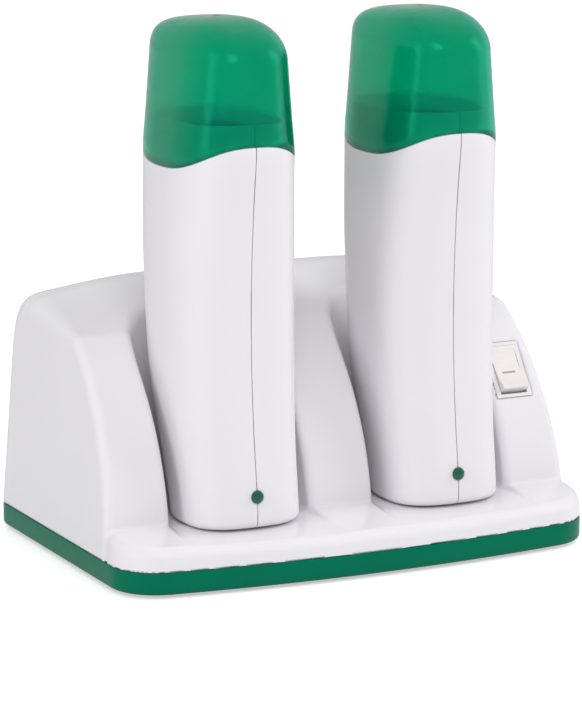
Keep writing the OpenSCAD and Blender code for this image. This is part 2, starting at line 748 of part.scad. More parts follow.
module thermal_cutout() {
    color("#d9d4c8") translate([chamber_w / 2, pocket_y, element_z + element_h / 2]) rotate([0, 90, 0]) {
        cylinder(r = cutout_r, h = cutout_t, $fn = 48);
        for (side = [-1, 1]) translate([0, side * 3, cutout_t]) cylinder(r = 0.6, h = 2, $fn = 24);
    }
}

// ---------- signal lamp ----------

lens_dome = 1.9;                    // how far the lens stands out of the shell
board_w = 13;
board_h = 11;
board_t = 1.2;

module led_lens() {
    color(pan_green) translate([0, led_front_y, heater_z + led_h]) rotate([90, 0, 0])
        rotate_extrude($fn = 64) polygon(concat(
            [[0, -6.2], [led_r + 0.8, -6.2], [led_r + 0.8, -5.2], [led_r, -5.2]],
            [for (i = [0 : 8]) [led_r * cos(i * 90 / 8), lens_dome * sin(i * 90 / 8)]]));
}

module led_board() {
    color("#1f6b3a") translate([-board_w / 2, led_back_y, heater_z + led_h - board_h / 2])
        cube([board_w, board_t, board_h]);
}

// ---------- heater inlet ----------

socket_depth = plug_rise + 2.5;     // recess that takes the docking connector
socket_r = plug_r + 0.8;
block_h = 14;
heater_pin_r = 1.2;
pin_tip_h = 1.5;
pin_top_h = 17;

module heater_inlet() {
    color("#2b2b2d") translate([0, dock_y, heater_z]) difference() {
        union() {
            cylinder(r = inlet_block_r - 0.3, h = block_h, $fn = 64);
            translate([0, 0, floor_h + 0.05]) cylinder(r = inlet_block_r + 1.8, h = 2, $fn = 64);
        }
        translate([0, 0, -1]) cylinder(r = socket_r, h = socket_depth + 1, $fn = 64);
        for (side = [-1, 1]) translate([side * contact_gap / 2, 0, 0])
            cylinder(r = heater_pin_r + touch, h = block_h + 1, $fn = 32);
    }
}

module heater_pins() {
    color("goldenrod") for (side = [-1, 1])
        translate([side * contact_gap / 2, dock_y, heater_z + pin_tip_h])
            cylinder(r = heater_pin_r, h = pin_top_h - pin_tip_h, $fn = 32);
}

module heater_wiring() {
    top = heater_z + pin_top_h + touch;
    board_back = led_back_y + board_t + touch;
    side_x = chamber_w / 2 + 2.2;
    color("#8c2f2b") {
        wire([[-contact_gap / 2, dock_y, top], [-contact_gap / 2, dock_y, top + 3],
              [-chamber_w / 2 - 1.4, pocket_y - 2, pocket_z - 6],
              [-chamber_w / 2 - 1.4, pocket_y - 2, element_z - 0.1]], wire_r);
        wire([[contact_gap / 2, dock_y, top], [contact_gap / 2, dock_y, top + 3],
              [side_x, pocket_y, pocket_z - 6], [side_x, pocket_y, element_z + element_h / 2 - cutout_r - 0.1]], wire_r);
        wire([[0, board_back, heater_z + led_h + 3.5], [0, dock_y - 7, heater_z + led_h + 3.5],
              [0, dock_y - 5, heater_z + block_h + 1.5], [0, dock_y - 5, heater_z + block_h + touch]], 0.5);
    }
}

// ---------- cap ----------

edge_gap = 0.2;                     // between the cap's edge and the shell's ledge
dome_tilt = -3.5;                   // the top slopes down towards the back
top_round = 2.9;                    // squareness of the cap's shoulders
top_skew = 0.97;                    // the back shoulder is squarer than the front one

// A point of the dome, f degrees up from its start
function dome(f, a, inset) =
    let (round = top_round + top_skew * sin(a),
         c = power(cos(f), 2 / round), s = power(sin(f), 2 / round),
         rise = (cap_top_h - inset - dome_h) * s,
         base = skin(dome_h, a, inset),
         cy = (line_back(dome_h) + line_front(dome_h)) / 2,
         y = cy + (base[1] - cy) * c)
    [base[0] * c * (1 - taper * rise / half_width(dome_h)), y,
     heater_z + dome_h + rise + (y - cy) * tan(dome_tilt) * s * s];

dome_angles = [8, 18, 29, 41, 53, 65, 76];

function cap_rings(inset) =
    let (turn = [for (i = [0 : cap_steps - 1]) i * 360 / cap_steps])
    concat(
        [[for (a = turn) skin(wave(a) + edge_gap, a, inset)],
         [for (a = turn) skin((wave(a) + straight_h) / 2, a, inset)],
         [for (a = turn) skin(straight_h, a, inset)],
         [for (a = turn) skin(dome_h, a, inset)]],
        [for (f = dome_angles) [for (a = turn) dome(f, a, inset)]]);

module cap() {
    outer = cap_rings(0);
    inner = cap_rings(cap_wall);
    rings = concat([for (i = [len(outer) - 1 : -1 : 0]) outer[i]], inner);
    n = cap_steps;
    count = len(rings);
    apex = count * n;
    points = concat([for (ring = rings) for (p = ring) p], [dome(90, 0, 0), dome(90, 0, cap_wall)]);
    color(cap_green, 0.9) polyhedron(points = points, convexity = 6, faces = concat(
        [for (k = [0 : n - 1]) [apex, (k + 1) % n, k]],
        [for (r = [0 : count - 2], k = [0 : n - 1]) [r * n + k, r * n + (k + 1) % n, (r + 1) * n + (k + 1) % n]],
        [for (r = [0 : count - 2], k = [0 : n - 1]) [r * n + k, (r + 1) * n + (k + 1) % n, (r + 1) * n + k]],
        [for (k = [0 : n - 1]) [apex + 1, (count - 1) * n + k, (count - 1) * n + (k + 1) % n]]));
}

module at_dock(sx) { translate([sx * dock_x, 0, 0]) children(); }

foot_pads();
base_pan();
base_screws();
base_cover();
switch_frame();
switch_terminals();
rocker();
inlet_housing();
inlet_pins();
base_wiring();
dock_connector(-1);  // left_dock_connector
dock_contacts(-1);  // left_dock_contacts
dock_connector(1);  // right_dock_connector
dock_contacts(1);  // right_dock_contacts
at_dock(-1) heater_left_shell();  // left_heater_left_shell
at_dock(-1) heater_right_shell();  // left_heater_right_shell
at_dock(-1) shell_screws();  // left_shell_screws
at_dock(-1) chamber();  // left_chamber
at_dock(-1) insulation();  // left_insulation
at_dock(-1) heating_element();  // left_heating_element
at_dock(-1) clamp_plate();  // left_clamp_plate
at_dock(-1) thermal_cutout();  // left_thermal_cutout
at_dock(-1) led_board();  // left_led_board
at_dock(-1) led_lens();  // left_led_lens
at_dock(-1) heater_inlet();  // left_heater_inlet
at_dock(-1) heater_pins();  // left_heater_pins
at_dock(-1) heater_wiring();  // left_heater_wiring
at_dock(-1) cap();  // left_cap
at_dock(1) heater_left_shell();  // right_heater_left_shell
at_dock(1) heater_right_shell();  // right_heater_right_shell
at_dock(1) shell_screws();  // right_shell_screws
at_dock(1) chamber();  // right_chamber
at_dock(1) insulation();  // right_insulation
at_dock(1) heating_element();  // right_heating_element
at_dock(1) clamp_plate();  // right_clamp_plate
at_dock(1) thermal_cutout();  // right_thermal_cutout
at_dock(1) led_board();  // right_led_board
at_dock(1) led_lens();  // right_led_lens
at_dock(1) heater_inlet();  // right_heater_inlet
at_dock(1) heater_pins();  // right_heater_pins
at_dock(1) heater_wiring();  // right_heater_wiring
at_dock(1) cap();  // right_cap
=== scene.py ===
# %% [markdown]
# # Two roll on wax heaters on their docking base
# Each heater is a hand-held tube of white moulded plastic with a green see-through cap. Two of
# them stand in the bays of a base that has a green pan, a white cover and one rocker switch.
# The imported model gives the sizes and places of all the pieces. This lesson dresses it: large
# moulded shells are modelled again as smooth surfaces, small pieces keep their shape and get a
# soft edge, and every piece gets the finish of its real material.

# %% The frame that everything is fitted to
import json
import math
import bpy
import numpy as np
from mathutils import Matrix, Vector

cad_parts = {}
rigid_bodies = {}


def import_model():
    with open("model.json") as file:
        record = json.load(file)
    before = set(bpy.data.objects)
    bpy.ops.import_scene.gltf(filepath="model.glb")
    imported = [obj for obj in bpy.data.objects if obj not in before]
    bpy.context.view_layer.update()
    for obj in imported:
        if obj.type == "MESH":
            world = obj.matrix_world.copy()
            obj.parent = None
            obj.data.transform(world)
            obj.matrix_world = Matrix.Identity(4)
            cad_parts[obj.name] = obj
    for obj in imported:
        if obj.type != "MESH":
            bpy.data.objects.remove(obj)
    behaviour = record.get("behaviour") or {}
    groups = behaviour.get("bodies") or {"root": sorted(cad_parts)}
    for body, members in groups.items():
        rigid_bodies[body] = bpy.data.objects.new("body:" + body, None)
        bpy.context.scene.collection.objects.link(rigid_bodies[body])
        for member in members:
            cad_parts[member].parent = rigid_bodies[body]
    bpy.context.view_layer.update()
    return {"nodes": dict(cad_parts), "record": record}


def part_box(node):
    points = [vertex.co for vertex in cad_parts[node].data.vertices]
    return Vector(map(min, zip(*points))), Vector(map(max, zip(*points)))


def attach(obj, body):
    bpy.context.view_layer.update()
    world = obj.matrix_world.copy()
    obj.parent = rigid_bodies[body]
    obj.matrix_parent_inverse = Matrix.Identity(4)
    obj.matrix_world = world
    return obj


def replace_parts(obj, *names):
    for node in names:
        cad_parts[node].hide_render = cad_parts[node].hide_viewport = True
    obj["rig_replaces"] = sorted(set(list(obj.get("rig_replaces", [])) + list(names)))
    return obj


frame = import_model()
nodes = frame["nodes"]
MM = 0.001
SIDES = {"left": -1, "right": 1}

# %% [markdown]
# ## The camera
# The photograph was taken with a long lens, from a little above and to the left of the front.
# The place of the camera comes from lines of known length on the object, so it is given in
# metres in the object's own frame. Depth of field stays off and the shift is zero.

# %% Camera
EYE = Vector((-0.6235, -1.2801, 0.3683))
GAZE = Vector((0.4281, 0.8812, -0.2004))
camera = bpy.data.objects.new("camera", bpy.data.cameras.new("camera"))
bpy.context.scene.collection.objects.link(camera)
camera.location = EYE
camera.rotation_euler = GAZE.to_track_quat("-Z", "Y").to_euler()
camera.data.lens = 180
camera.data.sensor_width = 36
camera.data.clip_start = 0.05
bpy.context.scene.camera = camera
print("camera", [round(v, 3) for v in EYE])

# %% [markdown]
# ## Helpers for materials
# A colour is written as an sRGB hex value, as a paint chart gives it, and one function turns it
# into the linear numbers that the renderer adds up. One more function adds a node with its
# settings and its links. Every finish below is made from these two.


# %% Colour and node helpers
def linear(hex_colour):
    channels = [int(hex_colour[i:i + 2], 16) / 255 for i in (1, 3, 5)]
    return [c / 12.92 if c <= 0.04045 else ((c + 0.055) / 1.055) ** 2.4 for c in channels] + [1]


def add(tree, kind, links=None, **settings):
    node = tree.nodes.new(kind)
    for key, value in settings.items():
        if hasattr(node, key):
            setattr(node, key, value)
        else:
            node.inputs[key.replace("_", " ")].default_value = value
    for key, source in (links or {}).items():
        tree.links.new(source, node.inputs[key])
    return node


def new_material(name, **sockets):
    """A material with one Principled shader, whose uniform sockets are set here."""
    material = bpy.data.materials.new(name)
    material.use_nodes = True
    shader = material.node_tree.nodes["Principled BSDF"]
    for key, value in sockets.items():
        shader.inputs[key.replace("_", " ")].default_value = value
    return material, material.node_tree, shader


# %% [markdown]
# ## Moulded plastic
# Most of the object is ABS, a tough opaque plastic with an IOR near 1.53, injected into a polished
# steel mould. The eye sees a clean gloss that is never quite perfect: the skin has a faint
# orange peel a few millimetres long, and its gloss varies a little where the plastic flowed.
# Both are noise textures in object space, scaled from a real length, so that no unwrapping is
# needed and the pattern keeps its size.


# %% Moulded plastic
def moulded(name, tone, deep_tone, gloss, peel_mm=4.0, peel=0.02, **sockets):
    """Opaque moulded plastic: tone and deep_tone differ a little, gloss is the mean roughness."""
    material, tree, shader = new_material(name, IOR=1.53, **sockets)
    place = add(tree, "ShaderNodeTexCoord")
    flow = add(tree, "ShaderNodeTexNoise", {"Vector": place.outputs["Object"]},
               Scale=1 / (45 * MM), Detail=2.0, Roughness=0.5)
    colour = add(tree, "ShaderNodeMix", {"Factor": flow.outputs["Fac"]}, data_type="RGBA")
    colour.inputs[6].default_value = linear(tone)
    colour.inputs[7].default_value = linear(deep_tone)
    tree.links.new(colour.outputs[2], shader.inputs["Base Color"])
    sheen = add(tree, "ShaderNodeMapRange", {"Value": flow.outputs["Fac"]},
                To_Min=gloss * 0.85, To_Max=gloss * 1.15)
    tree.links.new(sheen.outputs["Result"], shader.inputs["Roughness"])
    skin_noise = add(tree, "ShaderNodeTexNoise", {"Vector": place.outputs["Object"]},
                     Scale=1 / (peel_mm * MM), Detail=1.0, Roughness=0.4)
    bump = add(tree, "ShaderNodeBump", {"Height": skin_noise.outputs["Fac"]},
               Strength=peel, Distance=0.2 * MM)
    tree.links.new(bump.outputs["Normal"], shader.inputs["Normal"])
    return material


WHITE_ABS = moulded("polished_white_abs", "#eceaee", "#e8e6eb", gloss=0.15)
SHELL_ABS = moulded("polished_white_abs_of_the_heaters", "#ece9ed", "#e7e4e9", gloss=0.18)
GREEN_ABS = moulded("satin_green_abs", "#007153", "#00694d", gloss=0.26, Specular_IOR_Level=0.2,
                    Specular_Tint=(0.3, 1, 0.85, 1))
GREY_PRINT = moulded("pad_printed_grey_ink", "#a9a4a8", "#a29da1", gloss=0.5, peel_mm=0.6, peel=0.05)
IVORY_NYLON = moulded("moulded_ivory_nylon", "#efeae9", "#eae4e2", gloss=0.3, peel_mm=1.2, peel=0.05)
BLACK_NYLON = moulded("moulded_black_glass_filled_nylon", "#232325", "#2d2d2f", gloss=0.45,
                      peel_mm=0.8, peel=0.25)
RUBBER = moulded("moulded_dark_rubber", "#353837", "#2b2e2d", gloss=0.7, peel_mm=0.6, peel=0.3)
WIRE_PVC = moulded("extruded_red_pvc", "#8c2f2b", "#7c2622", gloss=0.4, peel_mm=0.8, peel=0.05)
print("moulded plastics ready")

# %% [markdown]
# ## See-through green plastic
# The caps are polypropylene with a little green dye: light goes through, but blurred. The eye
# sees the bright room through the empty top of the cap, the dark mouth and rim of the heater
# lower down, and a skin gloss over both. Transmission with some roughness gives the blur, and a
# part of the colour is left to scatter in the plastic itself. The reflections are kept weak and
# take the colour of the dye, so that the green stays deep.


# %% Dyed plastics
def dyed(name, tone, deep_tone, through, blur, gloss_coat):
    material, tree, shader = new_material(name, IOR=1.49, Roughness=blur, Coat_Weight=gloss_coat,
                                          Specular_Tint=(0.1, 0.9, 0.75, 1),
                                          Coat_Roughness=0.1, Transmission_Weight=through,
                                          Specular_IOR_Level=0.12)
    place = add(tree, "ShaderNodeTexCoord")
    cloud = add(tree, "ShaderNodeTexNoise", {"Vector": place.outputs["Object"]},
                Scale=1 / (30 * MM), Detail=2.0)
    colour = add(tree, "ShaderNodeMix", {"Factor": cloud.outputs["Fac"]}, data_type="RGBA")
    colour.inputs[6].default_value = linear(tone)
    colour.inputs[7].default_value = linear(deep_tone)
    tree.links.new(colour.outputs[2], shader.inputs["Base Color"])
    return material


CAP_PLASTIC = dyed("translucent_green_polypropylene", "#00c9a4", "#00bd9a", 0.9, 0.14, 0.04)
LENS_EPOXY = dyed("dyed_green_lamp_epoxy", "#04674a", "#035a41", 0.25, 0.12, 1.0)
print("dyed plastics ready")

# %% [markdown]
# ## Metals, mica, ceramic and the lamp board
# These pieces are inside, but they show when a heater is lifted out or its cap comes off. Drawn
# aluminium has fine streaks along the draw, plated steel and brass have a slight mottle. Mica
# sleeve is a layered sheet, and fired ceramic is matt and a little porous.


# %% Metals and insulators
def metal(name, tone, roughness, stretch, streak_mm):
    material, tree, shader = new_material(name, Metallic=1.0)
    place = add(tree, "ShaderNodeTexCoord")
    along = add(tree, "ShaderNodeMapping", {"Vector": place.outputs["Object"]}, Scale=stretch)
    streak = add(tree, "ShaderNodeTexNoise", {"Vector": along.outputs["Vector"]},
                 Scale=1 / (streak_mm * MM), Detail=3.0)
    tint = add(tree, "ShaderNodeMix", {"Factor": streak.outputs["Fac"]}, data_type="RGBA")
    tint.inputs[6].default_value = linear(tone)
    tint.inputs[7].default_value = [c * 0.82 for c in linear(tone)[:3]] + [1]
    tree.links.new(tint.outputs[2], shader.inputs["Base Color"])
    rough = add(tree, "ShaderNodeMapRange", {"Value": streak.outputs["Fac"]},
                To_Min=roughness * 0.7, To_Max=roughness * 1.3)
    tree.links.new(rough.outputs["Result"], shader.inputs["Roughness"])
    return material


DRAWN_ALUMINIUM = metal("drawn_aluminium", "#c4c6c8", 0.34, (1, 1, 0.08), 1.2)
ZINC_STEEL = metal("zinc_plated_steel", "#b9bcc0", 0.3, (1, 1, 1), 0.8)
STAMPED_BRASS = metal("stamped_brass", "#c9a45c", 0.28, (1, 1, 1), 0.8)
NICKEL_PLATE = metal("nickel_plated_brass", "#c8c4ba", 0.22, (1, 1, 1), 0.8)
MICA = moulded("layered_mica_sheet", "#d3cbb8", "#c2b9a3", gloss=0.5, peel_mm=2.0, peel=0.3)
CERAMIC = moulded("fired_ceramic", "#e6e1d6", "#d9d3c6", gloss=0.75, peel_mm=0.5, peel=0.3)
BOARD = moulded("solder_masked_glass_epoxy", "#1f6b3a", "#1a5f33", gloss=0.35, peel_mm=0.6, peel=0.1)

FINISH = {"cover_abs": WHITE_ABS, "pan_abs": GREEN_ABS, "shell_abs": SHELL_ABS,
          "cap_green": CAP_PLASTIC, "lens_green": LENS_EPOXY, "switch_nylon": IVORY_NYLON,
          "black_nylon": BLACK_NYLON, "pad_rubber": RUBBER, "screw_steel": ZINC_STEEL,
          "contact_brass": STAMPED_BRASS, "pin_nickel": NICKEL_PLATE,
          "chamber_aluminium": DRAWN_ALUMINIUM, "mica_sleeve": MICA, "ceramic": CERAMIC,
          "board_green": BOARD, "wire_pvc": WIRE_PVC}
print(len(FINISH), "finishes")

# %% [markdown]
# ## From a grid of points to a mesh
# The pan, the heater shells and the caps are all swept: one outline is repeated along another.
# Such a surface is a grid of points whose rows and columns may close on themselves, so one
# function turns any grid into faces. Another makes the piece, gives it the finish of its slot,
# and puts it on its body in the place of the imported node.


# %% Grid and piece helpers
def grid_faces(rows, cols, close_rows=False, close_cols=False):
    r = np.arange(rows if close_rows else rows - 1)
    c = np.arange(cols if close_cols else cols - 1)
    r, c = [v.ravel() for v in np.meshgrid(r, c, indexing="ij")]
    r2, c2 = (r + 1) % rows, (c + 1) % cols
    return np.stack([r * cols + c, r * cols + c2, r2 * cols + c2, r2 * cols + c], axis=1)


def piece(name, points, faces, slot, body, replaced, smooth=True):
    """A new mesh object from points in millimetres, in the place of the replaced nodes."""
    mesh = bpy.data.meshes.new(name)
    mesh.from_pydata([tuple(p) for p in np.asarray(points) * MM], [], [list(map(int, f)) for f in faces])
    mesh.validate()
    mesh.polygons.foreach_set("use_smooth", [smooth] * len(mesh.polygons))
    mesh.materials.append(FINISH[slot])
    made = bpy.data.objects.new(name, mesh)
    bpy.context.scene.collection.objects.link(made)
    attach(made, body)
    if replaced:
        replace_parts(made, *replaced)
    return made


# %% [markdown]
# ## The outline of the base
# Seen from above, the base has a front edge that bows out, two large front corners and two
# smaller back ones. The same outline shapes the pan, the cover's walls and the shelf, so it is
# written once as a signed distance: negative inside, zero on the edge, positive outside.

# %% Sizes of the base, in millimetres
HALF_W = (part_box("base_pan")[1][0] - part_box("base_pan")[0][0]) / MM / 2
FRONT_Y, BACK_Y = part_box("base_pan")[0][1] / MM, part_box("base_pan")[1][1] / MM
PAN_Z, PAN_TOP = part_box("base_pan")[0][2] / MM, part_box("base_pan")[1][2] / MM
RIDGE_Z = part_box("base_cover")[1][2] / MM
FRONT_BOW = 9.0
FRONT_CORNER, BACK_CORNER = 20.0, 15.0
BOW_R = (HALF_W ** 2 + FRONT_BOW ** 2) / (2 * FRONT_BOW)
BOW_Y = FRONT_Y + BOW_R
CORNER_X = HALF_W - FRONT_CORNER
CORNER_Y = BOW_Y - math.sqrt((BOW_R - FRONT_CORNER) ** 2 - CORNER_X ** 2)
print("base", round(2 * HALF_W, 1), "by", round(BACK_Y - FRONT_Y, 1), "mm, ridge at", round(RIDGE_Z, 1))


# %% Signed distance to the outline
def outline_distance(x, y):
    ax = np.abs(x)
    straight = np.maximum(np.maximum(ax - HALF_W, y - BACK_Y), np.hypot(ax, y - BOW_Y) - BOW_R)
    px, py = ax - CORNER_X, y - CORNER_Y
    lean = CORNER_X / (BOW_Y - CORNER_Y)
    front = (py < 0) & (px > -lean * py)
    bx, by = ax - (HALF_W - BACK_CORNER), y - (BACK_Y - BACK_CORNER)
    back = (bx > 0) & (by > 0)
    straight = np.where(front, np.hypot(px, py) - FRONT_CORNER, straight)
    return np.where(back, np.hypot(bx, by) - BACK_CORNER, straight)


def outline_points(inset, count):
    """Even points round the outline, drawn in by inset, found by walking along rays to the edge."""
    turn = np.linspace(0, 2 * np.pi, 4000, endpoint=False)
    reach = np.full(turn.shape, 90.0)
    for step in range(40):
        reach = reach - (outline_distance(reach * np.cos(turn), reach * np.sin(turn)) + inset)
    x, y = reach * np.cos(turn), reach * np.sin(turn)
    length = np.concatenate([[0], np.cumsum(np.hypot(np.diff(x, append=x[0]), np.diff(y, append=y[0])))])
    even = np.linspace(0, length[-1], count, endpoint=False)
    return (np.interp(even, length, np.append(x, x[0])), np.interp(even, length, np.append(y, y[0])))


# %% [markdown]
# ## The cover as an implicit surface
# The cover is one moulding with many soft transitions: the housing runs into the shelf, two
# slanted U-shaped bays are sunk into both, and every edge is rounded. Boolean cuts leave hard
# edges that are difficult to round afterwards. So the cover is described as a signed distance
# instead: each form is a short formula, and a smooth maximum or minimum joins two of them with a
# round edge or fillet of a chosen size. The surface is then where the distance is zero.

# %% Values of the cover
SHELF_FRONT_Z, SHELF_BACK_Z = PAN_TOP + 8.0, PAN_TOP + 12.4
SHELF_D = 32.0
HUMP_Y = FRONT_Y + SHELF_D
FACE_R, CREASE_Z = 102.4, 92.0
FACE_Z = CREASE_Z - 84.2
FACE_Y = HUMP_Y + math.sqrt(FACE_R ** 2 - (SHELF_BACK_Z - FACE_Z) ** 2)
DRAFT = math.tan(math.radians(4.3))
EDGE_R = 8.0
CREASE_Y = FACE_Y - math.sqrt(FACE_R ** 2 - (CREASE_Z - FACE_Z) ** 2)
RIDGE_Y, RIDGE_DROP = BACK_Y - 24.33, 5.0
DOCK_X, DOCK_Y = 45.0, -38.0
BAY_R, BAY_FLOOR, BAY_LEAN = 30.5, 21.0, math.radians(23.5)
BAY_Y = -10.0 - BAY_R / math.cos(BAY_LEAN)
WALL = 2.4
DECK_SLOPE, CROWN_SLOPE, REAR_SLOPE = 0.2671, -0.1, -1.64
DECK_BACK, DECK_DROP = EDGE_R * 0.258, EDGE_R * 0.034
REAR_BACK, REAR_DROP = 13.0, 4.2
CREASE_ROUND, RIDGE_ROUND = 4.1, 9.4
SHELF_EDGE = 4.0
SHELF_OVERLAP = 12
EDGE_GAP = 0.12
print("crease at", round(CREASE_Y, 1), "ridge at", round(RIDGE_Y, 1))


# %% Smooth joins and the forms of the cover
def smooth_max(a, b, size):
    blend = np.maximum(size - np.abs(a - b), 0) / size
    return np.maximum(a, b) + blend * blend * size / 4


def smooth_min(a, b, size):
    return -smooth_max(-a, -b, size)


def plane(y, z, at_y, at_z, slope):
    """Height above a plane through (at_y, at_z) that rises along Y by slope."""
    return (z - at_z - (y - at_y) * slope) / math.hypot(1, slope)


def ridge_fall(x):
    """How much lower the ridge lies towards the sides."""
    out = np.clip((np.abs(x) - (DOCK_X - 6)) / 50, 0, 1.2)
    return RIDGE_DROP * out * out * (1.6 - 0.6 * out)


def housing(x, y, z):
    wall = (outline_distance(x, y) + (z - PAN_TOP) * DRAFT) / math.hypot(1, DRAFT)
    face = np.hypot(y - FACE_Y, z - FACE_Z) - FACE_R
    to_ridge = np.clip((y - CREASE_Y) / (RIDGE_Y - CREASE_Y), 0, 1)
    lifted = z + ridge_fall(x) * to_ridge
    deck = plane(y, lifted, RIDGE_Y - DECK_BACK, RIDGE_Z - DECK_DROP, DECK_SLOPE)
    crown = plane(y, lifted, RIDGE_Y, RIDGE_Z, CROWN_SLOPE)
    rear = plane(y, lifted, RIDGE_Y + REAR_BACK, RIDGE_Z - REAR_DROP, REAR_SLOPE)
    top = smooth_max(smooth_max(deck, crown, 2.0), rear, 5.0)
    front = smooth_max(face, top, 1.2)
    return smooth_max(front, wall, CREASE_ROUND + (RIDGE_ROUND - CREASE_ROUND) * to_ridge)


def shelf(x, y, z):
    slope = (SHELF_BACK_Z - SHELF_FRONT_Z) / SHELF_D
    under = 3.0 * np.clip((y - HUMP_Y + 4) / 14, 0, 1)
    wall = outline_distance(x, y) + (z - PAN_TOP) * DRAFT + under
    top = plane(y, z, FRONT_Y, SHELF_FRONT_Z, slope)
    out, up = wall + SHELF_EDGE, top + SHELF_EDGE
    corner = np.hypot(np.maximum(out, 0), np.maximum(up, 0))
    rounded = np.minimum(np.maximum(out, up), 0) + corner - SHELF_EDGE
    return np.maximum(rounded, y - (HUMP_Y + SHELF_OVERLAP))


def bays(x, y, z):
    """The two slanted U-shaped spaces: negative inside them."""
    qx, qy, qz = np.abs(x) - DOCK_X, y - BAY_Y, z - BAY_FLOOR
    ly = qy * math.cos(BAY_LEAN) - qz * math.sin(BAY_LEAN)
    round_back = np.where(ly > 0, np.hypot(qx, ly), np.abs(qx)) - BAY_R
    return smooth_max(round_back, -qz, 2.0)


# %% Openings of the cover
SWITCH_X, SWITCH_Z = 86.2, 67.5
SWITCH = (SWITCH_X, FACE_Y - math.sqrt(FACE_R ** 2 - (SWITCH_Z - FACE_Z) ** 2), SWITCH_Z)
SWITCH_LEAN = math.acos((SWITCH[2] - FACE_Z) / FACE_R)
RECESS = (8.3, 12.6, 2.0)
FRAME_HOLE = (7.6, 11.9, 9.0)
PLUG_R, PLUG_REACH = 9.3, 6.0
INLET_X, INLET_Z, INLET_HALF_W, INLET_HALF_H = 62.0, 37.0, 8.7, 5.4
VENT_X, VENT_Z, VENT_PITCH, VENT_HALF_W, VENT_HALF_H, VENT_SPAN = -20.0, 55.0, 5.0, 0.9, 7.0, 22.0
REAR_FROM = 60.0


def switch_frame_place(x, y, z):
    """The point in the switch's own directions: across, up the slope, out of the housing."""
    dx, dy, dz = x - SWITCH[0], y - SWITCH[1], z - SWITCH[2]
    c, s = math.cos(SWITCH_LEAN), math.sin(SWITCH_LEAN)
    return dx, dy * c + dz * s, -dy * s + dz * c


def recess(x, y, z):
    across, up, out = switch_frame_place(x, y, z)
    return np.maximum(np.maximum(np.abs(across) - RECESS[0], np.abs(up) - RECESS[1]), -RECESS[2] - out)


def cover_distance(p):
    """Signed distance of the whole moulding, in millimetres, for points in rows of x, y, z."""
    x, y, z = p
    body = smooth_min(housing(x, y, z), shelf(x, y, z), 1.4)
    skin = smooth_max(body, -bays(x, y, z), 3.4)
    skin = smooth_max(skin, -recess(x, y, z), 0.7)
    wall = np.maximum(skin, -(skin + WALL))
    across, up, out = switch_frame_place(x, y, z)
    through = np.maximum(np.abs(across) - FRAME_HOLE[0], np.abs(up) - FRAME_HOLE[1])
    through = np.maximum(through, np.abs(out) - FRAME_HOLE[2])
    plug = np.hypot(np.abs(x) - DOCK_X, y - DOCK_Y) - PLUG_R
    plug = np.maximum(plug, np.abs(z - BAY_FLOOR) - PLUG_REACH)
    inlet = np.maximum(np.abs(x - INLET_X) - INLET_HALF_W, np.abs(z - INLET_Z) - INLET_HALF_H)
    inlet = np.maximum(inlet, REAR_FROM + 4 - y)
    vent_x = np.abs(np.mod(x - VENT_X + VENT_PITCH / 2, VENT_PITCH) - VENT_PITCH / 2)
    vents = np.maximum(vent_x - VENT_HALF_W, np.abs(x - VENT_X) - VENT_SPAN)
    vents = np.maximum(vents, np.maximum(np.abs(z - VENT_Z) - VENT_HALF_H, REAR_FROM - y))
    for hole in (through, plug, inlet, vents):
        wall = smooth_max(wall, -hole, 0.4)
    return np.maximum(wall, PAN_TOP + EDGE_GAP - z)


# %% [markdown]
# ## Meshing it
# A surface net turns the distance into quads: space is cut into cells, every cell that the
# surface crosses gets one point at the mean of its crossings, and cells that share a crossed edge
# are joined. Each point then slides along the gradient onto the surface itself, and the gradient
# is also the exact normal, which keeps reflections clean even where the quads are large.


# %% Surface net
def surface_net(distance, low, high, cell):
    axes = [np.arange(a, b + cell, cell) for a, b in zip(low, high)]
    field = np.empty([len(a) for a in axes], np.float32)
    yy, zz = np.meshgrid(axes[1], axes[2], indexing="ij")
    for i, x in enumerate(axes[0]):
        field[i] = distance((np.full(yy.shape, x), yy, zz))
    inside = field < 0
    shape = [n - 1 for n in field.shape]
    total = np.zeros(shape + [3], np.float32)
    count = np.zeros(shape, np.int32)
    corners = [(i, j, k) for i in (0, 1) for j in (0, 1) for k in (0, 1)]

    def part(array, c):
        return array[c[0]:c[0] + shape[0], c[1]:c[1] + shape[1], c[2]:c[2] + shape[2]]

    for a in corners:
        for axis in range(3):
            if a[axis]:
                continue
            b = tuple(v + (n == axis) for n, v in enumerate(a))
            fa, fb = part(field, a), part(field, b)
            crossed = (fa < 0) != (fb < 0)
            t = np.where(crossed, fa / np.where(crossed, fa - fb, 1), 0)
            for n in range(3):
                total[..., n] += np.where(crossed, a[n] + (t if n == axis else 0), 0)
            count += crossed
    used = count > 0
    index = np.full(shape, -1, np.int64)
    index[used] = np.arange(used.sum())
    cells = np.argwhere(used)
    points = np.array(low) + (cells + total[used] / count[used][:, None]) * cell
    quads = []
    for axis in range(3):
        u, v = [(1, 2), (2, 0), (0, 1)][axis]
        here = [slice(1, n) for n in shape]
        here[axis] = slice(0, shape[axis])
        nxt = list(here)
        nxt[axis] = slice(1, shape[axis] + 1)
        a, b = inside[tuple(here)], inside[tuple(nxt)]
        place = np.argwhere(a != b) + np.array([0 if n == axis else 1 for n in range(3)])
        out = a[a != b]
        ring = []
        for du, dv in ((0, 0), (1, 0), (1, 1), (0, 1)):
            at = place.copy()
            at[:, u] -= du
            at[:, v] -= dv
            ring.append(index[at[:, 0], at[:, 1], at[:, 2]])
        ring = np.stack(ring, axis=1)
        ring[~out] = ring[~out][:, ::-1]
        quads.append(ring)
    return points, np.concatenate(quads)


def gradient(distance, points, step=0.05):
    p = points.T
    result = np.empty_like(p)
    for n in range(3):
        shift = np.zeros((3, 1))
        shift[n] = step
        result[n] = (distance(p + shift) - distance(p - shift)) / (2 * step)
    return result.T


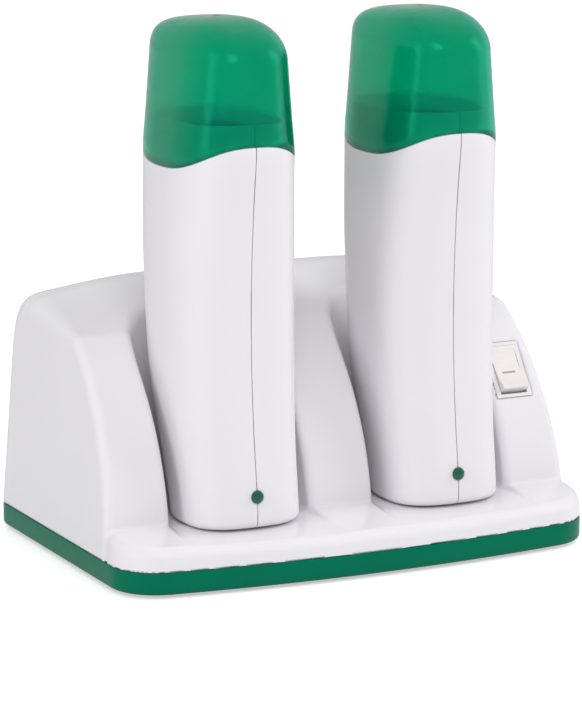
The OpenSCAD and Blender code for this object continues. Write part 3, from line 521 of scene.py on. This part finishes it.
def settle(distance, points, quads, rounds, cell):
    """Slides points onto the surface, with a little evening out between the slides."""
    edges = np.concatenate([quads[:, [k, (k + 1) % 4]] for k in range(4)])
    for turn in range(rounds):
        if turn:
            total, number = np.zeros_like(points), np.zeros(len(points))
            np.add.at(total, edges[:, 0], points[edges[:, 1]])
            np.add.at(number, edges[:, 0], 1)
            points = points + 0.4 * (total / number[:, None] - points)
        for _ in range(2):
            g = gradient(distance, points)
            move = distance(points.T)[:, None] * g / np.maximum((g * g).sum(1), 0.3)[:, None]
            points = points - np.clip(move, -0.4 * cell, 0.4 * cell)
    return points


# %% Cover
def make_cover():
    cell = 1.25
    low = np.array([-HALF_W - 2, FRONT_Y - 2, PAN_TOP - 2])
    high = np.array([HALF_W + 2, BACK_Y + 2, RIDGE_Z + 2])
    points, quads = surface_net(cover_distance, low, high, cell)
    points = settle(cover_distance, points, quads, 3, cell)
    made = piece("cover", points, quads, "cover_abs", "base", ["base_cover"])
    normals = gradient(cover_distance, points, 0.02)
    normals /= np.linalg.norm(normals, axis=1)[:, None]
    made.data.normals_split_custom_set_from_vertices([tuple(n) for n in normals])
    return made


cover = make_cover()
print("cover", len(cover.data.polygons), "faces")

# %% [markdown]
# ## The pan
# The pan closes the base from below. Its wall is a thin band of green with a softly rounded lower
# edge, so it is swept: the outline is drawn in by a different amount at each height. The middle
# of the floor and the inside are closed with one last point each.


# %% Pan
def make_pan():
    count, wall, edge = 360, 2.4, 1.6
    bend = np.radians(np.linspace(0, 90, 7))
    profile = [(30.0, PAN_Z)]
    profile += [(edge * (1 - math.sin(t)), PAN_Z + edge * (1 - math.cos(t))) for t in bend]
    profile += [(0.0, PAN_TOP - 0.35), (0.1, PAN_TOP - 0.1), (0.35, PAN_TOP), (wall - 0.3, PAN_TOP),
                (wall, PAN_TOP - 0.3), (wall, PAN_Z + wall + 0.5), (wall + 0.5, PAN_Z + wall),
                (30.0, PAN_Z + wall)]
    rings = []
    for inset, z in profile:
        x, y = outline_points(inset, count)
        rings.append(np.stack([x, y, np.full(count, z)], axis=1))
    points = np.concatenate(rings + [[[0, 0, PAN_Z]], [[0, 0, PAN_Z + wall]]])
    n = len(profile)
    faces = [list(f) for f in grid_faces(n, count, close_cols=True)]
    last = (n - 1) * count
    for k in range(count):
        nxt = (k + 1) % count
        faces.append([n * count, nxt, k])
        faces.append([n * count + 1, last + k, last + nxt])
    return piece("pan", points, faces, "pan_abs", "base", ["base_pan"])


pan = make_pan()
print("pan", len(pan.data.polygons), "faces")

# %% [markdown]
# ## The heater's shape
# A heater is a rounded rectangle in section, a superellipse, that changes with height: it widens
# a little above the foot, its front curves in at the waist, its back leans out from the heel to
# the knee, and the neck and cap narrow upwards. These few lines give any point of its skin, so
# the shell, the neck and the cap all follow the same form.

# %% Sizes of a heater, heights above its underside
HEATER_Z = BAY_FLOOR + 0.2
FRONT_LINE, WAIST, CURVE_LOW = -59.0, 5.2, 15.0
FOOT_HALF, HALF = 24.5, 27.0
WAVE_MID, WAVE_H = 146.5, 10.0
KNEE_H, KNEE_Y, HEEL_Y, BACK_LINE = 54.0, 3.0, -17.0, 12.0
NECK_TOP, DOME_H, CAP_TOP = 160.0, 183.3, 199.35
TAPER, TAPER_H = 0.095, 150.0
SHELL_WALL, CAP_WALL, CAP_GAP, NECK_WALL = 2.2, 1.8, 0.4, 1.8
NECK_IN = CAP_WALL + CAP_GAP
POWER = 2 / 2.8


def ease(v):
    t = np.clip(v, 0, 1)
    return t * t * (3 - 2 * t)


def half_width(h):
    low = FOOT_HALF + (HALF - FOOT_HALF) * ease((h - 8) / 72)
    high = HALF + (FOOT_HALF + 0.6 - HALF) * ease((h - 100) / 64)
    return np.where(h < 100, low, high)


def line_front(h):
    span = (WAVE_MID - CURVE_LOW) / 2
    off = (h - CURVE_LOW - span) / span
    return FRONT_LINE + WAIST * np.maximum(0, 1 - off * off) - 0.6 * np.clip((CURVE_LOW - h) / 8, 0, 1)


def line_back(h):
    low = HEEL_Y + (KNEE_Y - HEEL_Y) * h / KNEE_H
    high = KNEE_Y + (BACK_LINE - KNEE_Y) * (np.minimum(h, WAVE_MID) - KNEE_H) / (WAVE_MID - KNEE_H)
    soft = 1.5
    return -soft * np.log(np.exp(-low / soft) + np.exp(-high / soft))


def power(v, e):
    return np.sign(v) * np.abs(v) ** e


def skin(h, a, inset):
    """A point of the heater's skin at height h and angle a, drawn in by inset."""
    h, a, inset = np.broadcast_arrays(np.asarray(h, float), a, inset)
    w = half_width(h) - TAPER * np.maximum(0, h - TAPER_H) - inset
    d = (line_back(h) - line_front(h)) / 2 - inset
    cy = (line_back(h) + line_front(h)) / 2
    return np.stack([w * power(np.cos(a), POWER), cy + d * power(np.sin(a), POWER), HEATER_Z + h], axis=-1)


def wave(a):
    return WAVE_MID - WAVE_H / 2 * np.cos(2 * a)


def even_angles(start, end, count):
    """Angles that divide the skin's section into even steps of length."""
    a = np.linspace(start, end, 6001)
    p = skin(100.0, a, 0.0)
    length = np.concatenate([[0], np.cumsum(np.linalg.norm(np.diff(p, axis=0), axis=1))])
    return np.interp(np.linspace(0, length[-1], count), length, a)


# %% [markdown]
# ## The half shells
# The body of a heater is moulded as a left and a right half that meet on a seam down the middle
# of the front and back. The seam is what the eye picks out on the plain white body: a fine dark
# line, because each half ends in a tiny chamfer and a hair's breadth is left between them. Each
# half is one closed loop through the wall, repeated at many angles over half a turn.


# %% Half shells
SEAM_HALF_GAP, SEAM_CHAMFER = 0.17, 0.42
FOOT_ROUND, INLET_R = 3.0, 13.0


def make_shell(side, half):
    """side is left or right heater, half is left or right shell of it."""
    fine = np.radians([0.0, 0.02, 0.16, 0.5])
    mid = even_angles(-math.pi / 2, math.pi / 2, 61)[1:-1]
    a = np.concatenate([-math.pi / 2 + fine, mid, math.pi / 2 - fine[::-1]])
    ends = np.zeros(len(a))
    ends[[0, -1]], ends[[1, -2]] = SEAM_CHAMFER, 0.1
    edge = wave(a)
    deep = NECK_IN + NECK_WALL
    rows = []
    for t in np.radians(np.linspace(0, 90, 6)):
        rows.append(skin(FOOT_ROUND * (1 - math.cos(t)), a, FOOT_ROUND * (1 - math.sin(t)) + ends))
    for t in np.linspace(0, 1, 42)[1:]:
        rows.append(skin(FOOT_ROUND + (edge - FOOT_ROUND - 0.5) * t, a, ends))
    rows += [skin(edge - 0.12, a, 0.12 + ends), skin(edge, a, 0.5 + ends), skin(edge, a, NECK_IN)]
    for t in np.linspace(0, 1, 5)[1:]:
        rows.append(skin(edge + (NECK_TOP - 0.6 - edge) * t, a, NECK_IN))
    rows += [skin(NECK_TOP - 0.15, a, NECK_IN + 0.15), skin(NECK_TOP, a, NECK_IN + 0.6),
             skin(NECK_TOP, a, deep - 0.3), skin(NECK_TOP - 0.3, a, deep), skin(138.0, a, deep),
             skin(128.0, a, deep), skin(120.0, a, SHELL_WALL)]
    rows += [skin(h, a, SHELL_WALL) for h in np.linspace(112, 8, 14)]
    rows.append(skin(FOOT_ROUND, a, SHELL_WALL + 1))
    for z in (HEATER_Z + FOOT_ROUND, HEATER_Z):
        ring = [INLET_R * np.cos(a), DOCK_Y + INLET_R * np.sin(a), np.full(len(a), z)]
        rows.append(np.stack(ring, axis=-1))
    points = np.stack(rows, axis=1)
    points[..., 0] = np.maximum(points[..., 0], SEAM_HALF_GAP)
    cols, n = points.shape[:2]
    points = points.reshape(-1, 3)
    faces = [list(f) for f in grid_faces(cols, n, close_cols=True)]
    faces.append(list(range(n)))
    faces.append([(cols - 1) * n + k for k in range(n - 1, -1, -1)])
    if half == "left":
        points[:, 0] *= -1
        faces = [f[::-1] for f in faces]
    points[:, 0] += SIDES[side] * DOCK_X
    name = f"{side}_heater_{half}_shell"
    return piece(f"{side}_heater_{half}_half", points, faces, "shell_abs", f"{side}_heater", [name])


shells = [make_shell(side, half) for side in SIDES for half in SIDES]
print(len(shells), "half shells of", len(shells[0].data.polygons), "faces")

# %% [markdown]
# ## The caps
# A cap is a thin bell of see-through plastic. Its edge follows the same wave as the shell under
# it, its walls carry on the heater's taper, and its top is a soft cushion that falls a little to the
# back. Light passes through two skins here, so the wall is modelled with both.

# %% Caps
TILT = math.tan(math.radians(-3.5))


def dome(f, a, inset):
    """A point of the cap's top, f from 0 at its foot to a right angle at its crown."""
    squareness = 2.9 + 0.97 * np.sin(a)
    c, s = power(np.cos(f), 2 / squareness), power(np.sin(f), 2 / squareness)
    base = skin(DOME_H, a, inset)
    rise = (CAP_TOP - inset - DOME_H) * s
    cy = (line_back(DOME_H) + line_front(DOME_H)) / 2
    y = cy + (base[..., 1] - cy) * c
    z = HEATER_Z + DOME_H + rise + (y - cy) * TILT * s * s
    return np.stack([base[..., 0] * c * (1 - TAPER * rise / half_width(DOME_H)), y, z], axis=-1)


def dome_steps(count):
    f = np.linspace(0, math.pi / 2, 4001)
    p = dome(f, np.zeros_like(f), np.zeros_like(f))
    length = np.concatenate([[0], np.cumsum(np.linalg.norm(np.diff(p, axis=0), axis=1))])
    return np.interp(np.linspace(0, length[-1], count), length, f)[1:-1]


def make_cap(side):
    a = even_angles(-math.pi, math.pi, 129)[:-1]
    low = wave(a) + 0.2
    tops = dome_steps(30)
    flat = np.zeros_like(a)
    outer = [skin(low, a, 0.5), skin(low + 0.12, a, 0.13), skin(low + 0.5, a, 0.0)]
    outer += [skin(low + 0.5 + (DOME_H - low - 0.5) * t, a, 0.0) for t in np.linspace(0, 1, 12)[1:]]
    outer += [dome(np.full_like(a, f), a, flat) for f in tops]
    inner = [dome(np.full_like(a, f), a, flat + CAP_WALL) for f in tops[::-1]]
    inner += [skin(low + 0.3 + (DOME_H - low - 0.3) * t, a, CAP_WALL) for t in np.linspace(1, 0, 12)]
    inner.append(skin(low, a, CAP_WALL - 0.3))
    n = len(a)
    crown = [dome(np.array(math.pi / 2), np.array(0.0), np.array(i)) for i in (0.0, CAP_WALL)]
    points = np.concatenate([np.concatenate(outer), np.concatenate(inner), np.array(crown)])
    up, down = len(outer), len(inner)
    faces = [list(f) for f in grid_faces(up, n, close_cols=True)]
    faces += [[v + up * n for v in f] for f in grid_faces(down, n, close_cols=True)]
    first, last = 0, (up + down - 1) * n
    for k in range(n):
        nxt = (k + 1) % n
        faces.append([last + k, last + nxt, first + nxt, first + k])
        faces.append([(up - 1) * n + k, (up - 1) * n + nxt, (up + down) * n])
        faces.append([up * n + nxt, up * n + k, (up + down) * n + 1])
    points[:, 0] += SIDES[side] * DOCK_X
    return piece(f"{side}_clear_cap", points, faces, "cap_green", f"{side}_cap", [f"{side}_cap"])


caps = [make_cap(side) for side in SIDES]
print(len(caps), "caps of", len(caps[0].data.polygons), "faces")

# %% [markdown]
# ## Round holes
# A core pin or a drill leaves a plain round hole with a clean edge. Each is cut with a cylinder,
# and the cylinder is taken away again once the cut is in the mesh. The pan gets the seats of its
# feet and screws, the heaters get the lamp's hole and the deep bores of their screws with the
# sleeve round each, and every cap gets the small round mark that its gate leaves on the crown.


# %% Cylinders that cut or join
def cylinder(made, foot, axis, radius, length, operation="DIFFERENCE", sides=40):
    """Cuts a cylinder out of a piece or joins it on; foot is the middle of its first end, in mm."""
    turn = np.linspace(0, 2 * np.pi, sides, endpoint=False)
    ring = np.stack([radius * np.cos(turn), radius * np.sin(turn), np.zeros(sides)], axis=1)
    points = np.concatenate([ring, ring + [0, 0, length]]) * MM
    faces = [list(map(int, f)) for f in grid_faces(2, sides, close_cols=True)]
    faces += [list(range(sides))[::-1], list(range(sides, 2 * sides))]
    mesh = bpy.data.meshes.new("tool")
    mesh.from_pydata([tuple(p) for p in points], [], faces)
    tool = bpy.data.objects.new("tool", mesh)
    turned = Vector(axis).to_track_quat("Z", "Y").to_matrix().to_4x4()
    tool.matrix_world = Matrix.Translation(Vector(foot) * MM) @ turned
    bpy.context.scene.collection.objects.link(tool)
    work = made.modifiers.new("work", "BOOLEAN")
    work.operation, work.solver, work.object = operation, "EXACT", tool
    bpy.context.view_layer.update()
    made.data = bpy.data.meshes.new_from_object(made.evaluated_get(bpy.context.evaluated_depsgraph_get()))
    made.modifiers.remove(work)
    bpy.data.objects.remove(tool)


FOOT_X, FOOT_YS, SCREW_INSET = HALF_W - 20, (FRONT_Y + 26, BACK_Y - 18), 16
FOOT_SEAT_R, SCREW_SEAT_R, SCREW_HOLE_R = 7.05, 3.1, 1.7
for sx in SIDES.values():
    for foot_y in FOOT_YS:
        cylinder(pan, (sx * FOOT_X, foot_y, PAN_Z - 1), (0, 0, 1), FOOT_SEAT_R, 1.6)
        screw_at = (sx * (FOOT_X - SCREW_INSET), foot_y, PAN_Z - 1)
        cylinder(pan, screw_at, (0, 0, 1), SCREW_SEAT_R, 2.6)
        cylinder(pan, screw_at, (0, 0, 1), SCREW_HOLE_R, 6)
print("pan", len(pan.data.polygons), "faces")


# %% Holes of the heaters and marks of the caps
def reach_at(h, y):
    """How far the skin is from the middle plane at height h and depth y."""
    deep = (line_back(h) - line_front(h)) / 2
    off = (y - (line_back(h) + line_front(h)) / 2) / deep
    return half_width(h) * (1 - np.abs(off) ** 2.8) ** (1 / 2.8)


POSTS = ((-44.0, 24.0), (-14.0, 42.0))
SLEEVE_R, SHELL_SCREW_R, HEAD_BORE_R, HEAD_X = 3.8, 1.35, 2.6, 9
LAMP_H, LAMP_HOLE_R = 12.8, 2.75
GATE_R, GATE_DEPTH = 1.15, 0.45
for shell in shells:
    side, _, half = shell.name.split("_")[:3]
    middle = SIDES[side] * DOCK_X
    lamp = (middle, line_front(LAMP_H) - 4, HEATER_Z + LAMP_H)
    if half == "right":
        for post_y, post_h in POSTS:
            far = float(reach_at(post_h, post_y + np.array([-SLEEVE_R, 0, SLEEVE_R])).min())
            z = HEATER_Z + post_h
            cylinder(shell, (middle + 0.3, post_y, z), (1, 0, 0), SLEEVE_R, far - 1.3, "UNION")
            cylinder(shell, (middle, post_y, z), (1, 0, 0), SHELL_SCREW_R, HEAD_X + 3)
            cylinder(shell, (middle + HEAD_X, post_y, z), (1, 0, 0), HEAD_BORE_R, 30)
    cylinder(shell, lamp, (0, 1, 0), LAMP_HOLE_R, 9)
for side, cap in zip(SIDES, caps):
    crown = dome(np.array(math.pi / 2), np.array(0.0), np.array(0.0))
    mark = (SIDES[side] * DOCK_X, crown[1], crown[2] - GATE_DEPTH)
    cylinder(cap, mark, (0, 0, 1), GATE_R, 3, sides=24)
print("holes in", len(shells), "half shells, marks on", len(caps), "caps")

# %% [markdown]
# ## The pieces that keep their shape
# Screws, pins, the switch, the lamp lens, the chamber and the rest are right as they are packed.
# Each gets its finish, and a small bevel takes the razor edge off, as a mould or a tumbler does.

# %% Finishes and soft edges
SLOT_OF = {entry["node"]: entry["material_slot"] for entry in frame["record"]["subparts"]}
BEVEL = {"switch_frame": 0.25, "rocker": 0.3, "inlet_housing": 0.4, "foot_pads": 0.5}
replaced_nodes = {n for o in bpy.data.objects for n in o.get("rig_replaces", [])}
kept = 0
for name, node in nodes.items():
    if name in replaced_nodes:
        continue
    slot = SLOT_OF[name]
    node.data.materials.clear()
    node.data.materials.append(FINISH[slot])
    bevel = node.modifiers.new("soft edge", "BEVEL")
    bevel.width = BEVEL.get(name, 0.12) * MM
    bevel.segments = 2
    bevel.limit_method = "ANGLE"
    bevel.angle_limit = math.radians(40)
    kept += 1
print(kept, "pieces keep their shape")

# %% [markdown]
# ## The dash on the switch
# A short grey dash is printed across the middle of the rocker. It is a thin bar that follows the
# rocker's hollow face, in the rocker's own directions, and it rides on the rocker.


# %% Dash
def make_dash():
    half, low, high, thick = 2.9, -2.5, -1.7, 0.12
    pivot_depth, swing, hollow = 4.0, math.radians(-8), 25.9
    base = pivot_depth - RECESS[2] + 0.8 + 26.6
    rows = []
    for up in np.linspace(low, high, 5):
        level = base - math.sqrt(hollow ** 2 - up ** 2)
        rows.append([(-half, up, level - 0.2), (-half, up, level + thick),
                     (half, up, level + thick), (half, up, level - 0.2)])
    x, up, out = np.array(rows).reshape(-1, 3).T
    up, out = up * math.cos(swing) - out * math.sin(swing), up * math.sin(swing) + out * math.cos(swing)
    c, s = math.cos(SWITCH_LEAN), math.sin(SWITCH_LEAN)
    out = out - pivot_depth
    points = np.stack([SWITCH[0] + x, SWITCH[1] + up * c - out * s, SWITCH[2] + up * s + out * c], axis=1)
    faces = [list(f) for f in grid_faces(5, 4, close_cols=True)] + [[0, 1, 2, 3], [19, 18, 17, 16]]
    made = piece("rocker_dash", points, faces, "switch_nylon", "rocker", [], smooth=False)
    made.data.materials.clear()
    made.data.materials.append(GREY_PRINT)
    return made


dash = make_dash()
print("dash", [round(v, 4) for v in dash.dimensions])

# %% [markdown]
# ## Floor, backdrop and light
# The object stands on a white glossy table in a white studio. The floor is a white plastic that
# mirrors the base faintly. It looks pure white in the picture because rays straight from the
# camera see a little glow of its own, which puts no light on the object. Three large soft lamps
# add to the even white room, and reflections don't show them.


# %% Floor
def seen_white(tree):
    """One for rays straight from the camera or through clear plastic, zero for all others."""
    path = add(tree, "ShaderNodeLightPath")
    seen = add(tree, "ShaderNodeMath", operation="MAXIMUM")
    tree.links.new(path.outputs["Is Camera Ray"], seen.inputs[0])
    tree.links.new(path.outputs["Is Transmission Ray"], seen.inputs[1])
    return seen.outputs["Value"]


def white_stage(name, glow, gloss):
    material, tree, shader = new_material(name, Roughness=gloss, IOR=1.45)
    shader.inputs["Base Color"].default_value = linear("#f4f4f6")
    strength = add(tree, "ShaderNodeMath", {0: seen_white(tree)}, operation="MULTIPLY")
    strength.inputs[1].default_value = glow
    tree.links.new(strength.outputs["Value"], shader.inputs["Emission Strength"])
    shader.inputs["Emission Color"].default_value = (1, 1, 1, 1)
    return material


def make_stage():
    size = 30.0
    mesh = bpy.data.meshes.new("table")
    corners = [(-size, -size, 0), (size, -size, 0), (size, size, 0), (-size, size, 0)]
    mesh.from_pydata(corners, [], [(0, 1, 2, 3)])
    mesh.materials.append(white_stage("white_table", 0.5, 0.1))
    table = bpy.data.objects.new("table", mesh)
    bpy.context.scene.collection.objects.link(table)
    return table


table = make_stage()


# %% World and lamps
def make_world():
    world = bpy.data.worlds.new("studio")
    bpy.context.scene.world = world
    world.use_nodes = True
    tree = world.node_tree
    tree.nodes.clear()
    strength = add(tree, "ShaderNodeMapRange", {"Value": seen_white(tree)}, To_Min=0.54, To_Max=1.0)
    light = add(tree, "ShaderNodeBackground", {"Strength": strength.outputs["Result"]})
    light.inputs["Color"].default_value = (1, 1, 1, 1)
    add(tree, "ShaderNodeOutputWorld", {"Surface": light.outputs["Background"]})


def softbox(name, at, aim, width, height, watts):
    lamp = bpy.data.lights.new(name, "AREA")
    lamp.shape = "RECTANGLE"
    lamp.size, lamp.size_y = width, height
    lamp.energy = watts
    made = bpy.data.objects.new(name, lamp)
    made.location = at
    made.visible_glossy = False
    made.rotation_euler = (Vector(aim) - Vector(at)).to_track_quat("-Z", "Y").to_euler()
    bpy.context.scene.collection.objects.link(made)
    return made


make_world()
softbox("key", (-0.5, -1.6, 1.5), (0, 0, 0.08), 0.9, 1.2, 15)
softbox("left_strip", (-1.5, -0.3, 0.6), (0, 0, 0.12), 0.5, 1.4, 7)
softbox("right_strip", (1.4, -0.5, 0.7), (0, 0, 0.12), 0.6, 1.4, 11)
bpy.context.scene.view_settings.view_transform = "Standard"
